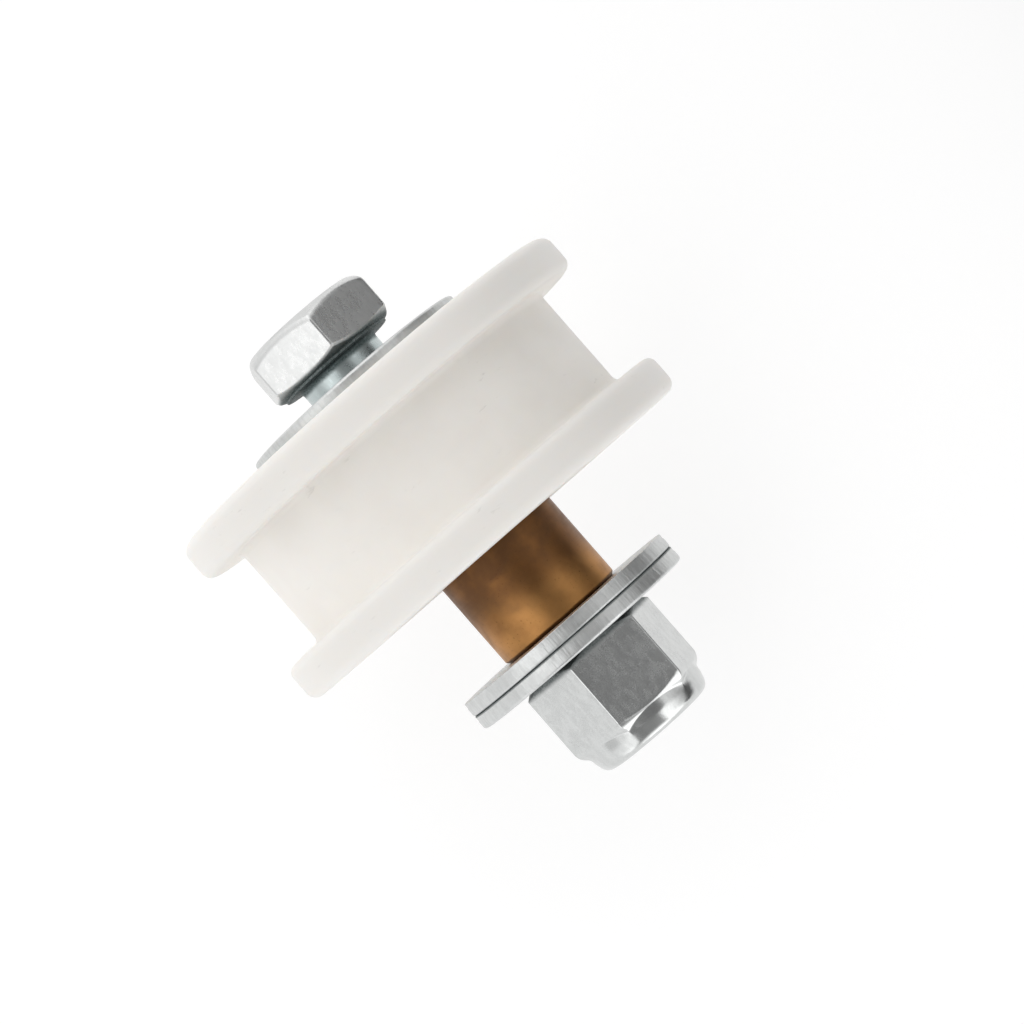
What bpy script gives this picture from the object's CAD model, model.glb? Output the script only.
"""Looks of a sliding door roller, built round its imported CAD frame.

A grooved nylon wheel turns on a bronze sleeve. Wheel, sleeve and three flat washers are strung on
a half-inch hex bolt and kept there by a lock nut with a nylon insert. +Y runs along the bolt from
its head to the nut, +Z is up, and all lengths are in metres.
"""

from __future__ import annotations

import logging
import math
from dataclasses import dataclass, field
from enum import Enum
from typing import Any, Callable, Sequence

import bmesh
import bpy
from mathutils import Matrix, Vector


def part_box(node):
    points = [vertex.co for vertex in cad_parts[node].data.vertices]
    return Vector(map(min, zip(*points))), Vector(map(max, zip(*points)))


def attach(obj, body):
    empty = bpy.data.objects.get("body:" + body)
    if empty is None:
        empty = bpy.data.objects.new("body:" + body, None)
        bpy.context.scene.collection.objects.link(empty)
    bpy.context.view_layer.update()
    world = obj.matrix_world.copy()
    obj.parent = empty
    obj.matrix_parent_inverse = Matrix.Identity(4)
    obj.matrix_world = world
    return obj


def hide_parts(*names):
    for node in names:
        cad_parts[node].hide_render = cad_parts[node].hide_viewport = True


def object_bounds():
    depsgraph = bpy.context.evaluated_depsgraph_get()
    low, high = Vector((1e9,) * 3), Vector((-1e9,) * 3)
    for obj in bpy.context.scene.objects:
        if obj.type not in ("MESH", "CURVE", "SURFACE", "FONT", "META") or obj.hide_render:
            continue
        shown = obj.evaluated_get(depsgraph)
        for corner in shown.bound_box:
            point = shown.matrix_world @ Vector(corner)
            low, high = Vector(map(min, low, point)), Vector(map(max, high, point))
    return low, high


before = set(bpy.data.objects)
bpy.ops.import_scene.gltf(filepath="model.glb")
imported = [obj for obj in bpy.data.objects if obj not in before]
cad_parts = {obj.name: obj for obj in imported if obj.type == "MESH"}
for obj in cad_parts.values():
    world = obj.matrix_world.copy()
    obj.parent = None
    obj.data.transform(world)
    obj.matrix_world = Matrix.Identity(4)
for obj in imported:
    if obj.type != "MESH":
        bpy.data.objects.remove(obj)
cad_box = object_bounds()

log = logging.getLogger("roller")

MM = 0.001
INCH = 0.0254
COLUMNS = 96
WELD = 1e-7
RIM_WELD = 1e-6
THREAD_WELD = 4e-6
THREAD_ROWS = 12
AXIS = Vector((0.0, 1.0, 0.0))

Colour = tuple[float, float, float]


class Body(Enum):
    """The CAD bodies that the pieces ride on."""

    BOLT = "bolt"
    HEAD_WASHER = "head_washer"
    WHEEL = "wheel"
    CLAMP_STACK = "clamp_stack"
    NUT = "nut"


class Facing(Enum):
    """Which way a washer's rolled-over side faces along the bolt."""

    HEAD = -1
    NUT = 1


# --- Shader building ---


class Sock:
    """An output socket that adds Math nodes when it is used in an expression."""

    def __init__(self, graph: Graph, socket: bpy.types.NodeSocket) -> None:
        """Wrap a socket.

        Args:
            graph: the graph that the socket's node belongs to.
            socket: the output socket.
        """
        self.graph = graph
        self.socket = socket

    def _math(self, operation: str, *values: Any) -> Sock:
        """Add a Math node of one operation on the given values or sockets."""
        settings = {"operation": operation}
        return self.graph.node("ShaderNodeMath", settings, dict(enumerate(values)))

    def __add__(self, other: Sock | float) -> Sock:
        """Sum."""
        return self._math("ADD", self, other)

    def __radd__(self, other: float) -> Sock:
        """Sum with the number on the left."""
        return self._math("ADD", other, self)

    def __sub__(self, other: Sock | float) -> Sock:
        """Difference."""
        return self._math("SUBTRACT", self, other)

    def __rsub__(self, other: float) -> Sock:
        """Difference with the number on the left."""
        return self._math("SUBTRACT", other, self)

    def __mul__(self, other: Sock | float) -> Sock:
        """Product."""
        return self._math("MULTIPLY", self, other)

    def __rmul__(self, other: float) -> Sock:
        """Product with the number on the left."""
        return self._math("MULTIPLY", other, self)

    def __truediv__(self, other: Sock | float) -> Sock:
        """Quotient."""
        return self._math("DIVIDE", self, other)

    def __pow__(self, other: float) -> Sock:
        """Power."""
        return self._math("POWER", self, other)

    def step(self, low: float, high: float) -> Sock:
        """Rise smoothly from 0 to 1 between two values.

        Args:
            low: the value where the result leaves 0.
            high: the value where it reaches 1; below low, the step falls instead.

        Returns:
            The stepped value, from 0 to 1.
        """
        settings = {"interpolation_type": "SMOOTHSTEP", "clamp": True}
        values = {0: self, 1: min(low, high), 2: max(low, high)}
        rising = self.graph.node("ShaderNodeMapRange", settings, values)
        return rising if low < high else 1.0 - rising


class Graph:
    """A node tree under construction."""

    def __init__(self, tree: bpy.types.NodeTree) -> None:
        """Empty the tree and start in it.

        Args:
            tree: the material's or world's own tree.
        """
        self.tree = tree
        self.tree.nodes.clear()

    def node(
        self,
        kind: str,
        settings: dict[str, Any] | None = None,
        values: dict[int | str, Any] | None = None,
        out: int | str = 0,
    ) -> Sock:
        """Add any node.

        Args:
            kind: the node's type.
            settings: its own properties, set first; "stops" fills a colour ramp.
            values: a number, colour, vector or Sock for each named or numbered input.
            out: the output to return.

        Returns:
            The chosen output.
        """
        made = self.tree.nodes.new(kind)
        for key, value in (settings or {}).items():
            if key == "stops":
                self._fill_ramp(made.color_ramp, value)
            else:
                setattr(made, key, value)
        for key, value in (values or {}).items():
            if isinstance(value, Sock):
                self.tree.links.new(value.socket, made.inputs[key])
            else:
                made.inputs[key].default_value = value
        outputs = made.outputs
        return Sock(self, outputs[out]) if len(outputs) else Sock(self, made.inputs[0])

    @staticmethod
    def _fill_ramp(ramp: bpy.types.ColorRamp, stops: Sequence[tuple[float, float]]) -> None:
        """Give a colour ramp its grey stops."""
        while len(ramp.elements) < len(stops):
            ramp.elements.new(0.5)
        for element, (position, grey) in zip(ramp.elements, stops):
            element.position = position
            element.color = (grey, grey, grey, 1.0)

    def split(self, vector: Sock) -> tuple[Sock, Sock, Sock]:
        """The three parts of a vector."""
        first = self.node("ShaderNodeSeparateXYZ", {}, {0: vector})
        outputs = first.socket.node.outputs
        return first, Sock(self, outputs[1]), Sock(self, outputs[2])


class Shader(Graph):
    """A material under construction: one Principled surface and whatever feeds it."""

    def __init__(self, name: str) -> None:
        """Start an empty node material.

        Args:
            name: the material's name.
        """
        self.material = bpy.data.materials.new(name)
        self.material.use_nodes = True
        super().__init__(self.material.node_tree)

    def place(self, stretch: Vector = Vector((1, 1, 1)), shift: Vector = Vector()) -> Sock:
        """Object coordinates, shifted and stretched by a Mapping node.

        Args:
            stretch: factor along each axis.
            shift: distance added after the stretch.

        Returns:
            The mapped position.
        """
        position = self.node("ShaderNodeTexCoord", out="Object")
        values = {"Vector": position, "Location": shift, "Scale": stretch}
        return self.node("ShaderNodeMapping", {}, values)

    def noise(self, at: Sock, size: float, detail: float = 3.0, rough: float = 0.5) -> Sock:
        """Cloudy noise from 0 to 1.

        Args:
            at: the position that it is read at.
            size: the width of one cloud, in the position's own unit.
            detail: how many finer layers it has.
            rough: how strong the finer layers are.

        Returns:
            The noise.
        """
        values = {"Vector": at, "Scale": 1.0 / size, "Detail": detail, "Roughness": rough}
        return self.node("ShaderNodeTexNoise", {}, values)

    def turned(self, fine: float, around: float) -> Sock:
        """A position whose noise is drawn out round the bolt, as a lathe's marks are.

        Args:
            fine: the spacing of the marks, in metres.
            around: their length round the bolt, in metres.

        Returns:
            The stretched position, in units of one mark.
        """
        x, y, z = self.split(self.node("ShaderNodeTexCoord", out="Object"))
        radius = (x * x + z * z) ** 0.5
        values = {0: x / around, 1: (y + radius) / fine, 2: z / around}
        return self.node("ShaderNodeCombineXYZ", {}, values)

    def mix(self, factor: Sock | float, low: Any, high: Any) -> Sock:
        """Mix two colours.

        Args:
            factor: 0 gives low and 1 gives high.
            low: a colour or Sock.
            high: a colour or Sock.

        Returns:
            The mixed colour.
        """
        settings = {"data_type": "RGBA", "clamp_factor": True}
        low, high = (c if isinstance(c, Sock) else (*c, 1.0) for c in (low, high))
        return self.node("ShaderNodeMix", settings, {0: factor, 6: low, 7: high}, out=2)

    def bump(
        self, height: Sock, depth: float, strength: float = 1.0, under: Sock | None = None
    ) -> Sock:
        """Turn a height from 0 to 1 into a normal.

        Args:
            height: the height.
            depth: what a height of 1 is, in metres.
            strength: how much of it shows.
            under: a coarser normal that this one is laid on.

        Returns:
            The normal.
        """
        values: dict[int | str, Any] = {"Height": height, "Distance": depth, "Strength": strength}
        if under is not None:
            values["Normal"] = under
        return self.node("ShaderNodeBump", {}, values)

    def finish(self, values: dict[str, Any]) -> bpy.types.Material:
        """Close the material with its Principled surface.

        Args:
            values: a number, colour or Sock for each input of the surface.

        Returns:
            The finished material.
        """
        surface = self.node("ShaderNodeBsdfPrincipled", {}, values)
        self.node("ShaderNodeOutputMaterial", {}, {"Surface": surface})
        return self.material


# --- Finishes ---


@dataclass(frozen=True)
class Nylon:
    """Natural nylon: satin, a little translucent, with faint turning marks and scuffs.

    rim is the radius past which handling has left it slightly dull.
    """

    name: str
    light: Colour = (0.905, 0.877, 0.835)
    deep: Colour = (0.87, 0.838, 0.794)
    rim_tone: Colour = (0.815, 0.797, 0.767)
    scuff: Colour = (0.52, 0.50, 0.47)
    rim: float = 29.5 * MM
    roughness: float = 0.50
    glow: float = 0.45
    glow_depth: float = 2.5 * MM
    mark_spacing: float = 0.25 * MM

    def build(self) -> bpy.types.Material:
        """Build the material."""
        s = Shader(self.name)
        clouds = s.noise(s.place(), 11.0 * MM, detail=3.0)
        marks = s.noise(s.turned(self.mark_spacing, 40 * MM), 1.0, detail=2.0)
        scratches = s.noise(s.turned(0.8 * MM, 2.5 * MM), 1.0, detail=4.0, rough=0.65)
        where = s.noise(s.place(shift=Vector((2, 8, 5))), 10 * MM).step(0.52, 0.66)
        scuffs = scratches.step(0.60, 0.72) * where
        x, _, z = s.split(s.node("ShaderNodeTexCoord", out="Object"))
        handled = ((x * x + z * z) ** 0.5).step(self.rim - 1.5 * MM, self.rim + 1.5 * MM)
        body = s.mix(clouds.step(0.35, 0.7), self.light, self.deep)
        body = s.mix(handled, body, self.rim_tone)
        colour = s.mix(scuffs * 0.30, body, self.scuff)
        grain = s.noise(s.place(), 0.35 * MM, detail=3.0)
        normal = s.bump(grain, 0.012 * MM, 0.35)
        normal = s.bump(marks, 0.02 * MM, 0.35, under=normal)
        return s.finish(
            {
                "Base Color": colour,
                "Roughness": self.roughness + (marks - 0.5) * 0.10 + scuffs * 0.12,
                "Normal": normal,
                "IOR": 1.5,
                "Specular IOR Level": 0.4,
                "Subsurface Weight": self.glow,
                "Subsurface Radius": (1.0, 0.85, 0.7),
                "Subsurface Scale": self.glow_depth,
            }
        )


@dataclass(frozen=True)
class Bronze:
    """Oiled bearing bronze: brown patina, rubbed golden towards one end, with fine pores.

    rubbed is the station that the rubbing ends at, and reach is how far it fades out from there.
    """

    name: str
    gold: Colour = (0.50, 0.25, 0.085)
    brown: Colour = (0.21, 0.098, 0.036)
    patina: Colour = (0.085, 0.037, 0.014)
    rubbed: float = 27 * MM
    reach: float = 11 * MM
    roughness: float = 0.40

    def build(self) -> bpy.types.Material:
        """Build the material."""
        s = Shader(self.name)
        marks = s.noise(s.turned(0.14 * MM, 30 * MM), 1.0, detail=3.0)
        clouds = s.noise(s.place(shift=Vector((3, 1, 7))), 8.0 * MM, detail=3.0)
        blotches = s.noise(s.place(shift=Vector((6, 4, 2))), 2.6 * MM, detail=4.0, rough=0.55)
        _, y, _ = s.split(s.node("ShaderNodeTexCoord", out="Object"))
        rubbing = y.step(self.rubbed - self.reach, self.rubbed - 1.5 * MM)
        gold = (rubbing * 0.45 + clouds * 0.7 + blotches * 0.3).step(0.55, 1.05)
        stain = (clouds * 0.55 + blotches * 0.45 - rubbing * 0.15).step(0.36, 0.60)
        pores = s.noise(s.place(), 0.30 * MM, detail=2.0).step(0.34, 0.26)
        colour = s.mix(gold, self.brown, self.gold)
        colour = s.mix(stain * 0.55, colour, self.patina)
        colour = s.mix(pores * 0.5, colour, self.patina)
        foot = y.step(self.rubbed - 0.7 * MM, self.rubbed - 0.35 * MM)
        colour = s.mix(foot * 0.75, colour, self.patina)
        normal = s.bump(1.0 - pores, 0.015 * MM, 0.5)
        normal = s.bump(marks, 0.012 * MM, 0.5, under=normal)
        return s.finish(
            {
                "Base Color": colour,
                "Metallic": 1.0 - stain * 0.25,
                "Roughness": self.roughness + stain * 0.12 + (marks - 0.5) * 0.12,
                "Normal": normal,
            }
        )


@dataclass(frozen=True)
class ZincPlate:
    """Clear zinc plating on steel: softly mottled, uneven under the plating, grimy in a corner.

    grime is where dirt has gathered, a station and how far it spreads from there. Past the
    station calm the surface is smooth, and past the station tinted the plating is bluish.
    """

    name: str
    bright: Colour = (0.65, 0.66, 0.655)
    dull: Colour = (0.50, 0.51, 0.505)
    dirt: Colour = (0.085, 0.10, 0.10)
    tint: Colour = (0.50, 0.565, 0.565)
    roughness: float = 0.25
    mottle_size: float = 0.9 * MM
    mottle: float = 0.3
    relief: float = 0.045 * MM
    shear: float = 0.0
    grime: tuple[float, float] = (1.0, 0.4 * MM)
    calm: float = 1.0
    tinted: float = 1.0

    def build(self) -> bpy.types.Material:
        """Build the material."""
        s = Shader(self.name)
        _, y, _ = s.split(s.node("ShaderNodeTexCoord", out="Object"))
        coarse = s.noise(s.place(), 4.5 * MM, detail=3.0)
        drawn = s.place(stretch=Vector((1, 0.5, 1)), shift=Vector((5, 2, 9)))
        soft = s.noise(drawn, self.mottle_size, detail=3.5, rough=0.55)
        grain = s.noise(s.place(), 0.25 * MM, detail=2.0)
        streaks = s.noise(s.place(stretch=Vector((1, 0.05, 1))), 0.45 * MM, detail=3.0, rough=0.6)
        cloud = (coarse * 0.2 + soft * 0.5 + grain * 0.3).step(0.40, 0.60)
        plating = s.mix(y.step(self.tinted, self.tinted + 0.3 * MM), self.bright, self.tint)
        colour = s.mix(cloud * self.mottle, plating, self.dull)
        colour = s.mix(streaks.step(0.45, 0.7) * (self.shear * 0.4), colour, self.dull)
        station, spread = self.grime
        away = ((y - station) * (y - station)) ** 0.5
        corner = away.step(spread, spread * 0.4) * (0.55 + grain * 0.6)
        colour = s.mix(corner, colour, self.dirt)
        lively = y.step(self.calm, self.calm - 1 * MM)
        normal = s.bump(soft * lively, self.relief, 0.8)
        normal = s.bump(grain, 0.008 * MM, 0.6, under=normal)
        normal = s.bump(streaks, 0.06 * MM, self.shear, under=normal)
        return s.finish(
            {
                "Base Color": colour,
                "Metallic": 1.0,
                "Roughness": self.roughness + cloud * 0.08 * lively + corner * 0.3,
                "Normal": normal,
            }
        )


@dataclass(frozen=True)
class StudioPaper:
    """A matt sheet in the studio, by default the pale one that the roller lies over."""

    name: str = "studio_paper"
    tone: Colour = (0.36, 0.36, 0.36)
    fill: float = 0.69

    def build(self) -> bpy.types.Material:
        """Build the material."""
        s = Shader(self.name)
        fibres = s.noise(s.place(), 0.6 * MM, detail=2.0)
        colour = s.mix(fibres, self.tone, tuple(0.995 * c for c in self.tone))
        return s.finish(
            {
                "Base Color": colour,
                "Roughness": 0.9,
                "Emission Color": (1.0, 1.0, 1.0, 1.0),
                "Emission Strength": self.fill,
            }
        )


Finish = Nylon | Bronze | ZincPlate


# --- Mesh building ---


@dataclass(frozen=True)
class Corner:
    """One corner of a half section: its place and how far it is rounded or cut back."""

    y: float
    radius: float
    blend: float = 0.0
    segments: int = 4


@dataclass(frozen=True)
class HexBar:
    """The outline of a hexagonal bar with slightly rounded corners.

    turn is how far one corner is turned from straight up towards -X, in radians.
    """

    across_flats: float
    corner_round: float
    turn: float
    segments: int = 4
    cuts: int = 11

    def outline(self, bm: bmesh.types.BMesh, y: float) -> list[bmesh.types.BMEdge]:
        """Draw the outline as a loop of edges across the bolt.

        Args:
            bm: the mesh that it is drawn in.
            y: its station along the bolt.

        Returns:
            The loop's edges.
        """
        upright = Matrix.Rotation(math.pi / 2, 4, "X")
        turned = Matrix.Rotation(-self.turn, 4, "Y")
        corner_radius = self.across_flats / 2 / math.cos(math.pi / 6)
        bmesh.ops.create_circle(
            bm,
            cap_ends=True,
            segments=6,
            radius=corner_radius,
            matrix=Matrix.Translation((0, y, 0)) @ turned @ upright,
        )
        bmesh.ops.bevel(
            bm,
            geom=bm.verts[:],
            affect="VERTICES",
            offset=self.corner_round * math.tan(math.pi / 6),
            segments=self.segments,
            profile=0.5,
            material=-1,
        )
        flats = [e for e in bm.edges if e.calc_length() > self.corner_round * 2]
        bmesh.ops.subdivide_edges(bm, edges=flats, cuts=self.cuts)
        bmesh.ops.delete(bm, geom=bm.faces[:], context="FACES_ONLY")
        return bm.edges[:]

    def radius(self, direction: Vector) -> float:
        """How far the outline is from the bolt's axis.

        Args:
            direction: a unit vector across the bolt.

        Returns:
            The distance to the outline that way.
        """
        sixth = math.pi / 3
        angle = math.atan2(-direction.x, direction.z) - self.turn
        angle = abs((angle + sixth / 2) % sixth - sixth / 2)
        centre = (self.across_flats / 2 - self.corner_round) / math.cos(sixth / 2)
        tangent = math.atan2(
            self.corner_round * math.sin(sixth / 2),
            centre + self.corner_round * math.cos(sixth / 2),
        )
        if angle >= tangent:
            return self.across_flats / 2 / math.cos(sixth / 2 - angle)
        inner = self.corner_round**2 - (centre * math.sin(angle)) ** 2
        return centre * math.cos(angle) + math.sqrt(max(inner, 0.0))


class Workpiece:
    """A mesh being turned about the bolt's axis."""

    def __init__(self) -> None:
        """Start with no geometry."""
        self.bm = bmesh.new()

    def turn(self, corners: Sequence[Corner], closed: bool = True, columns: int = COLUMNS) -> None:
        """Spin a half section into a solid of revolution.

        Args:
            corners: the section's corners in order.
            closed: whether the last corner joins the first.
            columns: how many steps make a full turn.
        """
        bm = self.bm
        others = set(bm.faces)
        verts = [bm.verts.new((0.0, corner.y, corner.radius)) for corner in corners]
        bm.faces.new(verts)
        blends = sorted({(c.blend, c.segments) for c in corners if c.blend > 0})
        for blend, segments in blends:
            kind = (blend, segments)
            chosen = [v for v, c in zip(verts, corners) if (c.blend, c.segments) == kind]
            bmesh.ops.bevel(
                bm,
                geom=chosen,
                affect="VERTICES",
                offset=blend,
                segments=segments,
                profile=0.5,
                material=-1,
            )
        face = next(f for f in bm.faces if f not in others)
        section = set(face.edges)
        bmesh.ops.delete(bm, geom=[face], context="FACES_ONLY")
        if not closed:
            ends = {verts[0], verts[-1]}
            seam = [e for e in section if set(e.verts) == ends]
            section -= set(seam)
            bmesh.ops.delete(bm, geom=seam, context="EDGES")
        points = {v for e in section for v in e.verts}
        bmesh.ops.spin(
            bm,
            geom=[*section, *points],
            cent=(0, 0, 0),
            axis=AXIS,
            angle=2 * math.pi,
            steps=columns,
            use_merge=True,
        )

    def grow(
        self, rim: list[bmesh.types.BMEdge], section: Callable[[Vector], list[Vector]]
    ) -> list[bmesh.types.BMEdge]:
        """Extrude a rim through every ring of a section that depends on the direction.

        Args:
            rim: the loop of edges to start from.
            section: gives, for a unit vector across the bolt, each ring's (station, radius).

        Returns:
            The last ring's edges.
        """
        def way(vert: bmesh.types.BMVert) -> Vector:
            """The vertex's direction from the axis."""
            return Vector((vert.co.x, 0.0, vert.co.z)).normalized()

        first = {v for e in rim for v in e.verts}
        count = len(section(way(next(iter(first)))))
        for ring in range(count):
            if ring:
                grown = bmesh.ops.extrude_edge_only(self.bm, edges=rim)["geom"]
                fresh = {g for g in grown if isinstance(g, bmesh.types.BMVert)}
                rim = [
                    g
                    for g in grown
                    if isinstance(g, bmesh.types.BMEdge) and set(g.verts) <= fresh
                ]
            for vert in {v for e in rim for v in e.verts}:
                direction = way(vert)
                station, radius = section(direction)[ring]
                vert.co = direction * radius + AXIS * station
        return rim

    def thread(
        self,
        start: float,
        end: float,
        pitch: float,
        radius_at: Callable[[float], float],
        limit: Callable[[float, float], float],
    ) -> tuple[list[bmesh.types.BMEdge], list[bmesh.types.BMEdge]]:
        """Spin a right-hand thread between two stations.

        The section is spun one full turn while it moves one pitch, so that it meets itself. What
        reaches past either station is pressed flat onto it.

        Args:
            start: the station where the thread begins.
            end: the station where it ends.
            pitch: the travel of one turn.
            radius_at: the thread's own radius, repeating every pitch.
            limit: takes a station and a radius, and gives the radius there after run-out,
                chamfer or countersink.

        Returns:
            The loops of edges at start and at end.
        """
        bm = self.bm
        turns = math.ceil((end - start) / pitch) + 2
        rows = range(turns * THREAD_ROWS + 1)
        stations = [start + (row / THREAD_ROWS - 1) * pitch for row in rows]
        before = set(bm.verts)
        verts = [bm.verts.new((0.0, y, radius_at(y))) for y in stations]
        edges = [bm.edges.new(pair) for pair in zip(verts, verts[1:])]
        bmesh.ops.spin(
            bm,
            geom=[*verts, *edges],
            cent=(0, 0, 0),
            axis=AXIS,
            dvec=AXIS * (pitch / COLUMNS),
            angle=2 * math.pi,
            steps=COLUMNS,
        )

        def made() -> list[bmesh.types.BMVert]:
            """The thread's vertices."""
            return [v for v in bm.verts if v not in before]

        bmesh.ops.remove_doubles(bm, verts=made(), dist=THREAD_WELD / 2)
        for vert in made():
            direction = Vector((vert.co.x, 0.0, vert.co.z))
            station = start if vert.co.y < start + THREAD_WELD else vert.co.y
            station = end if station > end - THREAD_WELD else station
            radius = limit(station, direction.length)
            vert.co = direction.normalized() * radius + AXIS * station
        bmesh.ops.remove_doubles(bm, verts=made(), dist=THREAD_WELD / 2)
        faces = {f for v in made() for f in v.link_faces}
        flat = [f for y in (start, end) for f in faces if lies_at(f, y)]
        bmesh.ops.delete(bm, geom=flat, context="FACES_ONLY")
        spare = [e for e in {e for v in made() for e in v.link_edges} if not e.link_faces]
        bmesh.ops.delete(bm, geom=spare, context="EDGES")
        rims = {e for v in made() for e in v.link_edges if e.is_boundary}
        low, high = ([e for e in rims if lies_at(e, y)] for y in (start, end))
        return low, high

    def cap(self, rim: list[bmesh.types.BMEdge]) -> None:
        """Close a flat loop of edges with one face."""
        bmesh.ops.holes_fill(self.bm, edges=rim, sides=0)

    def bridge(self, one: list[bmesh.types.BMEdge], other: list[bmesh.types.BMEdge]) -> None:
        """Join two loops of edges with a band of faces."""
        bmesh.ops.bridge_loops(self.bm, edges=[*one, *other])

    def rim_at(self, y: float, radius: float) -> list[bmesh.types.BMEdge]:
        """The open edges at one station and distance from the axis."""
        def fits(vert: bmesh.types.BMVert) -> bool:
            """Whether a vertex lies on the rim."""
            around = math.hypot(vert.co.x, vert.co.z)
            return abs(vert.co.y - y) < RIM_WELD and abs(around - radius) < RIM_WELD

        return [e for e in self.bm.edges if e.is_boundary and all(fits(v) for v in e.verts)]

    def release(self, name: str, crease: float = math.radians(40)) -> bpy.types.Object:
        """Turn the mesh into a smooth-shaded object at the origin.

        Args:
            name: the piece's name.
            crease: edges that turn more than this stay sharp.

        Returns:
            The new object.
        """
        bmesh.ops.remove_doubles(self.bm, verts=self.bm.verts[:], dist=WELD)
        bmesh.ops.recalc_face_normals(self.bm, faces=self.bm.faces[:])
        open_edges = sum(1 for e in self.bm.edges if not e.is_manifold)
        mesh = bpy.data.meshes.new(name)
        self.bm.to_mesh(mesh)
        self.bm.free()
        mesh.shade_smooth()
        mesh.set_sharp_from_angle(angle=crease)
        piece = bpy.data.objects.new(name, mesh)
        bpy.context.scene.collection.objects.link(piece)
        level = piece.modifiers.new("even_shading", "WEIGHTED_NORMAL")
        level.keep_sharp = True
        log.info("%s: %d faces, %d open edges", name, len(mesh.polygons), open_edges)
        return piece


def lies_at(part: bmesh.types.BMEdge | bmesh.types.BMFace, y: float) -> bool:
    """Whether an edge or a face lies flat at one station."""
    return all(abs(v.co.y - y) < WELD for v in part.verts)


def rounded_path(points: Sequence[Corner]) -> list[Vector]:
    """Round the inner corners of an open path in the (station, radius) plane.

    Args:
        points: the path's corners; blend is the length taken off each run at a corner.

    Returns:
        The path's points, the same number whatever the places.
    """
    path = [Vector((points[0].y, points[0].radius))]
    for before, corner, after in zip(points, points[1:], points[2:]):
        here = Vector((corner.y, corner.radius))
        if corner.blend <= 0:
            path.append(here)
            continue
        back = (Vector((before.y, before.radius)) - here).normalized() * corner.blend
        ahead = (Vector((after.y, after.radius)) - here).normalized() * corner.blend
        for k in range(corner.segments + 1):
            t = k / corner.segments
            path.append(here + back * (1 - t) ** 2 + ahead * t**2)
    path.append(Vector((points[-1].y, points[-1].radius)))
    return path


@dataclass(frozen=True)
class Thread:
    """A unified coarse screw thread, half an inch across with 13 turns to the inch."""

    diameter: float = INCH / 2
    pitch: float = INCH / 13
    crest_clearance: float = 0.05 * MM
    depth_share: float = 0.6134
    crest_share: float = 0.125
    root_share: float = 0.22

    @property
    def crest(self) -> float:
        """Radius of the bolt's crests."""
        return self.diameter / 2 - self.crest_clearance

    @property
    def root(self) -> float:
        """Radius of the bolt's roots."""
        return self.diameter / 2 - self.depth_share * self.pitch

    def radius_at(self, y: float, apart: float = 0.0) -> float:
        """The thread's radius along a line beside the axis.

        Args:
            y: the station along that line.
            apart: how much wider the thread is than the bolt's, as a nut's is.

        Returns:
            The radius there.
        """
        phase = abs((y / self.pitch) % 1.0 - 0.5) * 2
        flank = 1 - self.crest_share - self.root_share
        height = min(max((phase - self.root_share) / flank, 0.0), 1.0)
        return self.root + (self.crest - self.root) * height + apart


# --- Pieces ---


@dataclass
class Piece:
    """A piece of the roller that stands for one CAD node."""

    node: str
    body: Body
    slot: str
    finish: Finish
    low: Vector = field(init=False)
    high: Vector = field(init=False)

    def __post_init__(self) -> None:
        """Read the node's box from the frame."""
        self.low, self.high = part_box(self.node)

    @property
    def back(self) -> float:
        """The station of the end nearer the bolt's head."""
        return self.low.y

    @property
    def front(self) -> float:
        """The station of the end nearer the nut."""
        return self.high.y

    @property
    def outer(self) -> float:
        """The radius over the whole piece, for a round one."""
        return (self.high.z - self.low.z) / 2

    def shape(self) -> bpy.types.Object:
        """Build the piece's mesh."""
        raise NotImplementedError

    def build(self) -> bpy.types.Object:
        """Build the piece, dress it and fix it to its body.

        Returns:
            The finished object.
        """
        piece = self.shape()
        piece.data.materials.append(self.finish.build())
        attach(piece, self.body.value)
        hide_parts(self.node)
        log.info("%s rides on %s", piece.name, self.body.value)
        return piece


@dataclass
class Wheel(Piece):
    """The grooved wheel: two flanges with a square groove between them."""

    tread_radius: float = 26.55 * MM
    groove_width: float = INCH * 5 / 8
    bore_radius: float = INCH * 3 / 8 + 0.08 * MM
    rim_outer_round: float = 1.6 * MM
    rim_inner_round: float = 1.3 * MM
    root_round: float = 1.0 * MM
    bore_chamfer: float = 0.8 * MM
    columns: int = 192

    def shape(self) -> bpy.types.Object:
        """Turn the wheel from one half section."""
        half = self.groove_width / 2
        work = Workpiece()
        corners: list[Corner] = []
        for side, end in ((-1, self.back), (1, self.front)):
            flange = [
                Corner(end, self.bore_radius + self.bore_chamfer, 0.25 * MM, 2),
                Corner(end, self.outer, self.rim_outer_round, 7),
                Corner(side * half, self.outer, self.rim_inner_round, 6),
                Corner(side * half, self.tread_radius, self.root_round, 5),
            ]
            corners += flange if side < 0 else flange[::-1]
        corners.append(Corner(self.front - self.bore_chamfer, self.bore_radius))
        corners.append(Corner(self.back + self.bore_chamfer, self.bore_radius))
        work.turn(corners, columns=self.columns)
        return work.release("roller_wheel")


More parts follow.
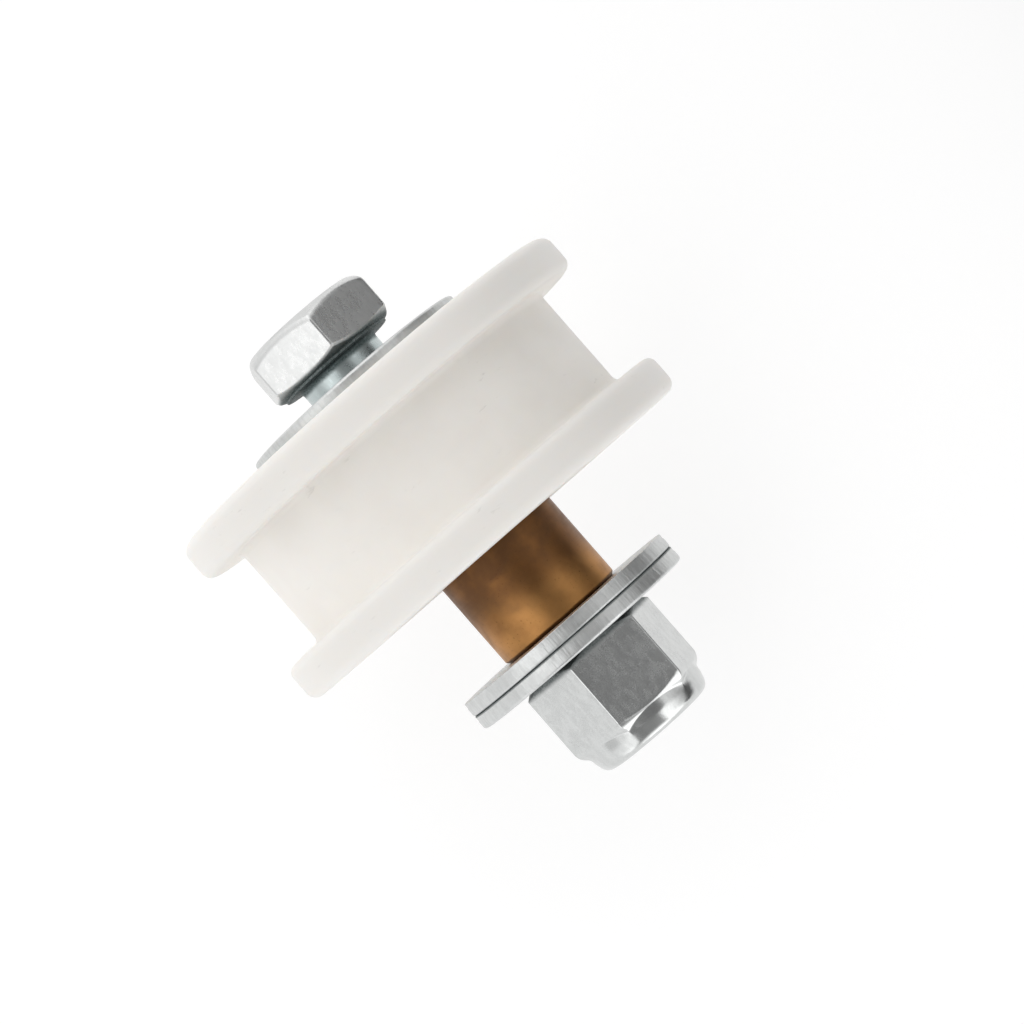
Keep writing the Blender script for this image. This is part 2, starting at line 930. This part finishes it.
@dataclass
class Sleeve(Piece):
    """The bronze sleeve, chamfered at both ends."""

    bore_radius: float = INCH / 4 + 0.05 * MM
    outer_chamfer: float = 0.5 * MM
    bore_chamfer: float = 0.5 * MM
    edge_round: float = 0.1 * MM

    def shape(self) -> bpy.types.Object:
        """Turn the sleeve from one half section."""
        cut, bore_cut, soft = self.outer_chamfer, self.bore_chamfer, self.edge_round
        corners: list[Corner] = []
        for inward, end in ((1, self.back), (-1, self.front)):
            rim = [
                Corner(end + inward * bore_cut, self.bore_radius, soft, 2),
                Corner(end, self.bore_radius + bore_cut, soft, 2),
                Corner(end, self.outer - cut, soft, 2),
                Corner(end + inward * cut, self.outer, soft, 2),
            ]
            corners += rim if inward > 0 else rim[::-1]
        work = Workpiece()
        work.turn(corners)
        return work.release("bronze_sleeve")


@dataclass
class FlatWasher(Piece):
    """A punched flat washer: rolled over on one side, sheared and slightly torn on the other."""

    facing: Facing = Facing.NUT
    hole_radius: float = INCH * 9 / 32
    rollover: float = 0.45 * MM
    torn_width: float = 0.7 * MM
    torn_depth: float = 0.10 * MM
    sharp_round: float = 0.12 * MM

    def shape(self) -> bpy.types.Object:
        """Turn the washer from one half section."""
        rolled, sharp = self.front, self.back
        if self.facing is Facing.HEAD:
            rolled, sharp = sharp, rolled
        inward = math.copysign(1.0, rolled - sharp)
        tear = sharp + inward * self.torn_width
        outer, hole, torn = self.outer, self.hole_radius, self.torn_depth
        work = Workpiece()
        work.turn(
            [
                Corner(rolled, outer, self.rollover, 6),
                Corner(tear + inward * 0.15 * MM, outer),
                Corner(tear, outer - torn),
                Corner(sharp, outer - torn * 0.5, self.sharp_round, 2),
                Corner(sharp, hole + torn * 0.5, self.sharp_round, 2),
                Corner(tear, hole + torn),
                Corner(tear + inward * 0.15 * MM, hole),
                Corner(rolled, hole, self.rollover, 5),
            ]
        )
        return work.release(f"flat_{self.node}")


@dataclass
class HexBolt(Piece):
    """The hex bolt: forged head, washer face, plain shank and rolled thread."""

    thread: Thread = Thread()
    length: float = INCH * 5 / 2
    thread_length: float = INCH * 5 / 4
    head_top_radius: float = 8.55 * MM
    head_top_slope: float = math.radians(29)
    under_radius: float = 9.0 * MM
    under_slope: float = math.radians(25)
    face_radius: float = 8.75 * MM
    face_height: float = 0.4 * MM
    fillet: float = 0.7 * MM
    tip_chamfer: float = 1.35 * MM
    run_out: float = 2.6 * MM
    rim_soft: float = 0.35 * MM
    edge_soft: float = 0.85 * MM
    under_soft: float = 0.42 * MM
    bar: HexBar = HexBar(INCH * 3 / 4, 0.5 * MM, math.radians(6))

    def head_section(self, direction: Vector) -> list[Vector]:
        """The head's rings, from its flat top to its underside.

        Args:
            direction: a unit vector across the bolt.

        Returns:
            Each ring's (station, radius).
        """
        edge = self.bar.radius(direction)
        underside = self.front - self.length - self.face_height
        top_drop = (edge - self.head_top_radius) * math.tan(self.head_top_slope)
        under_rise = (edge - self.under_radius) * math.tan(self.under_slope)
        return rounded_path(
            [
                Corner(self.back, self.head_top_radius - 2 * self.rim_soft),
                Corner(self.back, self.head_top_radius, self.rim_soft, 4),
                Corner(self.back + top_drop, edge, self.edge_soft, 5),
                Corner(underside - under_rise, edge, self.under_soft, 5),
                Corner(underside, self.under_radius, 0.1 * MM, 2),
                Corner(underside, self.face_radius + 0.1 * MM),
            ]
        )

    def limit(self, station: float, radius: float) -> float:
        """The thread's radius once its run-out and the tip's chamfer are taken."""
        start = self.front - self.thread_length
        shank = self.thread.diameter / 2
        rise = (shank - self.thread.root) * (station - start) / self.run_out
        radius = max(radius, shank - max(rise, 0.0))
        cone = shank - (station - (self.front - self.tip_chamfer))
        return min(radius, cone, shank)

    def shape(self) -> bpy.types.Object:
        """Forge the head, turn the shank and roll the thread."""
        work = Workpiece()
        bearing = self.front - self.length
        underside = bearing - self.face_height
        start = self.front - self.thread_length
        shank = self.thread.diameter / 2
        rim = self.bar.outline(work.bm, self.back)
        under = work.grow(rim, self.head_section)
        work.cap(work.rim_at(self.back, self.head_top_radius - 2 * self.rim_soft))
        work.turn(
            [
                Corner(underside, self.face_radius),
                Corner(bearing, self.face_radius, 0.15 * MM, 3),
                Corner(bearing, shank, self.fillet, 6),
                Corner(start, shank),
            ],
            closed=False,
        )
        face_rim = work.rim_at(underside, self.face_radius)
        work.bridge(under, face_rim)
        pitch, radius_at = self.thread.pitch, self.thread.radius_at
        _, tip = work.thread(start, self.front, pitch, radius_at, self.limit)
        work.cap(tip)
        return work.release("hex_bolt_half_inch")


@dataclass
class LockNut(Piece):
    """The lock nut: a hexagon whose round collar is rolled in over the nylon ring."""

    thread: Thread = Thread()
    thread_gap: float = 0.1 * MM
    face_radius: float = 9.25 * MM
    face_slope: float = math.radians(30)
    flat_length: float = 11.35 * MM
    corner_length: float = 11.2 * MM
    neck_length: float = 11.5 * MM
    corner_neck_length: float = 12.3 * MM
    neck_radius: float = 9.47 * MM
    corner_neck_radius: float = 9.78 * MM
    neck_soft: float = 0.08 * MM
    shoulder_length: float = 13.0 * MM
    shoulder_radius: float = 9.50 * MM
    collar_end_radius: float = 8.85 * MM
    collar_round: float = 1.3 * MM
    lip_thick: float = 1.0 * MM
    lip_radius: float = 7.1 * MM
    pocket_radius: float = 8.0 * MM
    pocket_depth: float = 4.3 * MM
    countersink: float = 0.75 * MM
    edge_soft: float = 0.2 * MM
    bar: HexBar = HexBar(INCH * 3 / 4, 0.35 * MM, math.radians(12 + 30))

    def outer_section(self, direction: Vector) -> list[Vector]:
        """The nut's rings from its bearing face, over the collar and down to the pocket's floor.

        Args:
            direction: a unit vector across the bolt.

        Returns:
            Each ring's (station, radius).
        """
        edge = self.bar.radius(direction)
        flat = self.bar.across_flats / 2
        cornered = (edge - flat) / (flat / math.cos(math.pi / 6) - flat)
        face_rise = (edge - self.face_radius) * math.tan(self.face_slope)
        foot = self.back + self.flat_length + (self.corner_length - self.flat_length) * cornered
        neck = self.back + self.neck_length
        neck += (self.corner_neck_length - self.neck_length) * cornered
        waist = self.neck_radius + (self.corner_neck_radius - self.neck_radius) * cornered
        soft = self.edge_soft
        floor = self.front - self.pocket_depth
        return rounded_path(
            [
                Corner(self.back, self.face_radius - 3 * soft),
                Corner(self.back, self.face_radius, soft, 3),
                Corner(self.back + face_rise, edge, min(soft, face_rise), 3),
                Corner(foot, edge, self.neck_soft + 0.85 * MM * cornered, 5),
                Corner(neck, waist, self.neck_soft + 0.25 * MM * cornered, 5),
                Corner(self.back + self.shoulder_length, self.shoulder_radius, 0.35 * MM, 4),
                Corner(self.front, self.collar_end_radius, self.collar_round, 8),
                Corner(self.front, self.lip_radius, 0.2 * MM, 3),
                Corner(self.front - self.lip_thick, self.lip_radius, 0.1 * MM, 2),
                Corner(self.front - self.lip_thick, self.pocket_radius),
                Corner(floor, self.pocket_radius),
                Corner(floor, self.pocket_radius - 0.4 * MM),
            ]
        )

    def limit(self, station: float, radius: float) -> float:
        """The threaded hole's radius once its two countersinks are cut."""
        mouth = self.thread.diameter / 2 + self.countersink
        floor = self.front - self.pocket_depth
        near = min(station - self.back, floor - station)
        return max(radius, mouth - near)

    def shape(self) -> bpy.types.Object:
        """Forge the outside and cut the thread."""
        work = Workpiece()
        rim = self.bar.outline(work.bm, self.back)
        pocket = work.grow(rim, self.outer_section)
        face = work.rim_at(self.back, self.face_radius - 3 * self.edge_soft)
        floor = self.front - self.pocket_depth
        mouth, inner = work.thread(
            self.back,
            floor,
            self.thread.pitch,
            lambda y: self.thread.radius_at(y, self.thread_gap),
            self.limit,
        )
        work.bridge(face, mouth)
        work.bridge(pocket, inner)
        return work.release("nylon_lock_nut")


@dataclass
class NylonInsert(Piece):
    """The nylon ring held in the lock nut's collar."""

    bore_radius: float = INCH / 4 + 0.05 * MM
    mouth: float = 0.5 * MM

    def shape(self) -> bpy.types.Object:
        """Turn the ring from one half section."""
        work = Workpiece()
        work.turn(
            [
                Corner(self.back, self.outer),
                Corner(self.front, self.outer),
                Corner(self.front, self.bore_radius, self.mouth, 4),
                Corner(self.back, self.bore_radius),
            ]
        )
        return work.release("nylon_ring")


# --- Studio ---


@dataclass
class Softbox:
    """A rectangular light that faces the roller."""

    name: str = "softbox"
    from_zenith: float = math.radians(47)
    azimuth: float = 0.0
    distance: float = 0.9
    width: float = 0.5
    height: float = 0.5
    radiance: float = 0.60

    def build(self) -> bpy.types.Object:
        """Hang the light and turn it to the roller."""
        light = bpy.data.lights.new(self.name, "AREA")
        light.shape = "RECTANGLE"
        light.size, light.size_y = self.width, self.height
        light.energy = self.radiance * math.pi * self.width * self.height
        holder = bpy.data.objects.new(self.name, light)
        bpy.context.scene.collection.objects.link(holder)
        aside = math.sin(self.from_zenith)
        x, y = aside * math.cos(self.azimuth), aside * math.sin(self.azimuth)
        direction = Vector((x, y, math.cos(self.from_zenith)))
        holder.location = direction * self.distance
        holder.rotation_euler = direction.to_track_quat("Z", "Y").to_euler()
        holder.visible_camera = False
        return holder


@dataclass
class Studio:
    """Floor, dark card, tent, softbox and camera.

    The tent is dark in a round opening overhead and along a stand towards +Y. Each pair of
    numbers for the stand is where its shade begins and where it is full.
    """

    softbox: Softbox = field(default_factory=Softbox)
    floor_size: float = 6.0
    floor_gap: float = 0.05 * MM
    shell_share: float = 0.48
    camera_height: float = 0.490
    camera_over: Vector = field(default_factory=lambda: Vector((-0.00446, 0.0160, 0.0)))
    camera_at: Vector = field(default_factory=lambda: Vector((-0.00446, 0.0117, 0.0)))
    axle_slope: float = math.radians(48.8)
    view_width: float = 0.1376
    sensor: float = 36.0
    flag_distance: float = 0.15
    flag_width: float = 0.36
    flag_height: float = 0.060
    flag_along: float = 0.01
    opening_lean: float = math.radians(8)
    opening_rim: float = math.cos(math.radians(31))
    opening_heart: float = math.cos(math.radians(21))
    opening_light: float = 0.15
    stand_offset: float = 0.10
    stand_side: tuple[float, float] = (0.26, 0.13)
    stand_near: tuple[float, float] = (0.1, 0.35)
    stand_far: tuple[float, float] = (1.1, 0.75)
    nut_end_light: float = 0.75
    head_end_light: float = 0.0
    tent: tuple[tuple[float, float], ...] = (
        (0.0, 0.23),
        (0.04, 0.27),
        (0.13, 0.84),
        (0.25, 1.28),
        (0.5, 1.58),
        (1.0, 0.74),
    )

    @staticmethod
    def _stand(name: str, bm: bmesh.types.BMesh, paper: StudioPaper) -> bpy.types.Object:
        """Put a mesh into the studio.

        Args:
            name: the object's name.
            bm: its mesh, which is used up.
            paper: what it is made of.

        Returns:
            The new object.
        """
        mesh = bpy.data.meshes.new(name)
        bm.to_mesh(mesh)
        bm.free()
        mesh.materials.append(paper.build())
        made = bpy.data.objects.new(name, mesh)
        bpy.context.scene.collection.objects.link(made)
        return made

    def floor(self) -> None:
        """Lay the floor just under the wheel's flanges."""
        place = Matrix.Translation((0, 0, cad_box[0].z - self.floor_gap))
        bm = bmesh.new()
        bmesh.ops.create_grid(
            bm, x_segments=8, y_segments=8, size=self.floor_size / 2, matrix=place
        )
        self._stand("studio_floor", bm, StudioPaper())

    def flag(self) -> None:
        """Stand a dark card at -X, which keeps the far side of the metal from washing out."""
        bm = bmesh.new()
        bmesh.ops.create_grid(bm, x_segments=2, y_segments=2, size=0.5)
        upright = Matrix.Rotation(math.pi / 2, 4, "Y")
        size = Matrix.Diagonal((self.flag_height, self.flag_width, 1.0, 1.0))
        middle = (-self.flag_distance, self.flag_along, cad_box[0].z + self.flag_height / 2)
        bm.transform(Matrix.Translation(middle) @ upright @ size)
        card = StudioPaper("flag_card", tone=(0.05, 0.05, 0.05), fill=0.0)
        flag = self._stand("flag", bm, card)
        flag.visible_camera = False

    def backdrop(self) -> None:
        """Hang a pale shell beyond the floor, which lets the tent's light through."""
        bm = bmesh.new()
        radius = self.floor_size * self.shell_share
        bmesh.ops.create_uvsphere(bm, u_segments=48, v_segments=24, radius=radius)
        paper = StudioPaper("backdrop_paper", tone=(0.0, 0.0, 0.0), fill=0.97)
        shell = self._stand("backdrop", bm, paper)
        shell.visible_diffuse = shell.visible_glossy = shell.visible_shadow = False

    def sky(self) -> None:
        """A pale tent, brightest at the nut's end, dark at -X, in its opening and at its stand."""
        world = bpy.data.worlds.new("studio_tent")
        world.use_nodes = True
        bpy.context.scene.world = world
        g = Graph(world.node_tree)
        x, y, z = g.split(g.node("ShaderNodeTexCoord", out="Generated"))
        across = g.node("ShaderNodeValToRGB", {"stops": self.tent}, {0: x * 0.5 + 0.5})
        evenly = (self.nut_end_light + self.head_end_light) / 2
        lift = 1.0 + (y * y) ** 0.5 * evenly + y * (self.nut_end_light - evenly)
        lean = self.opening_lean
        towards = z * math.cos(lean) - x * math.sin(lean)
        opening = towards.step(self.opening_rim, self.opening_heart)
        off = x - self.stand_offset
        stand = (off * off).step(*self.stand_side)
        stand = stand * y.step(*self.stand_near) * y.step(*self.stand_far)
        shade = 1.0 - (1.0 - (1.0 - opening) * (1.0 - stand)) * (1.0 - self.opening_light)
        background = g.node("ShaderNodeBackground", {}, {"Color": across, "Strength": lift * shade})
        g.node("ShaderNodeOutputWorld", {}, {"Surface": background})

    def camera(self) -> bpy.types.Object:
        """Look down on the roller, turned so that the bolt slopes across the view."""
        lens = bpy.data.cameras.new("camera")
        lens.sensor_width = self.sensor
        lens.lens = self.sensor * self.camera_height / self.view_width
        lens.clip_start, lens.clip_end = 0.01, 20.0
        camera = bpy.data.objects.new("camera", lens)
        bpy.context.scene.collection.objects.link(camera)
        camera.location = self.camera_over + Vector((0, 0, self.camera_height))
        back = (camera.location - self.camera_at).normalized()
        slope = self.axle_slope
        up = Vector((-math.cos(slope), -math.sin(slope), 0.0))
        right = up.cross(back).normalized()
        up = back.cross(right)
        turn = Matrix((right, up, back)).transposed()
        camera.rotation_euler = turn.to_euler()
        bpy.context.scene.camera = camera
        return camera

    def build(self) -> None:
        """Set up the whole studio."""
        bpy.context.scene.view_settings.view_transform = "Standard"
        self.floor()
        self.flag()
        self.backdrop()
        self.sky()
        self.softbox.build()
        self.camera()
        log.info("studio ready")


# --- Assembly ---


def main() -> None:
    """Build every piece in the order that the roller is put together."""
    logging.basicConfig(level=logging.INFO, format="%(message)s")
    under_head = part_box("hex_bolt")[1].y - HexBolt.length
    washer_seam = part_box("inner_washer")[1].y
    nut_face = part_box("lock_nut")[0].y
    bolt_zinc = ZincPlate(
        "bolt_zinc",
        bright=(0.655, 0.66, 0.655),
        dull=(0.49, 0.50, 0.50),
        dirt=(0.075, 0.105, 0.105),
        roughness=0.26,
        mottle=0.18,
        grime=(under_head, 1.3 * MM),
        tinted=under_head,
    )
    washer_zinc = ZincPlate(
        "washer_zinc",
        dirt=(0.17, 0.19, 0.19),
        roughness=0.36,
        shear=1.0,
        grime=(washer_seam, 0.28 * MM),
    )
    nut_zinc = ZincPlate(
        "nut_zinc",
        roughness=0.20,
        bright=(0.63, 0.64, 0.635),
        dull=(0.42, 0.43, 0.425),
        mottle=0.24,
        relief=0.02 * MM,
        grime=(nut_face, 1.5 * MM),
        calm=nut_face + 11.4 * MM,
    )
    pieces: list[Piece] = [
        HexBolt("hex_bolt", Body.BOLT, "bolt_steel", bolt_zinc),
        FlatWasher("head_washer", Body.HEAD_WASHER, "washer_steel", washer_zinc, Facing.HEAD),
        Wheel("wheel", Body.WHEEL, "wheel_plastic", Nylon("wheel_nylon")),
        Sleeve("sleeve", Body.CLAMP_STACK, "bearing_bronze", Bronze("sleeve_bronze")),
        FlatWasher("inner_washer", Body.CLAMP_STACK, "washer_steel", washer_zinc),
        FlatWasher("outer_washer", Body.CLAMP_STACK, "washer_steel", washer_zinc),
        LockNut("lock_nut", Body.NUT, "nut_steel", nut_zinc),
        NylonInsert("nylon_insert", Body.NUT, "insert_nylon", Nylon("insert_nylon")),
    ]
    for piece in pieces:
        piece.build()
    Studio().build()


if __name__ == "__main__":
    main()
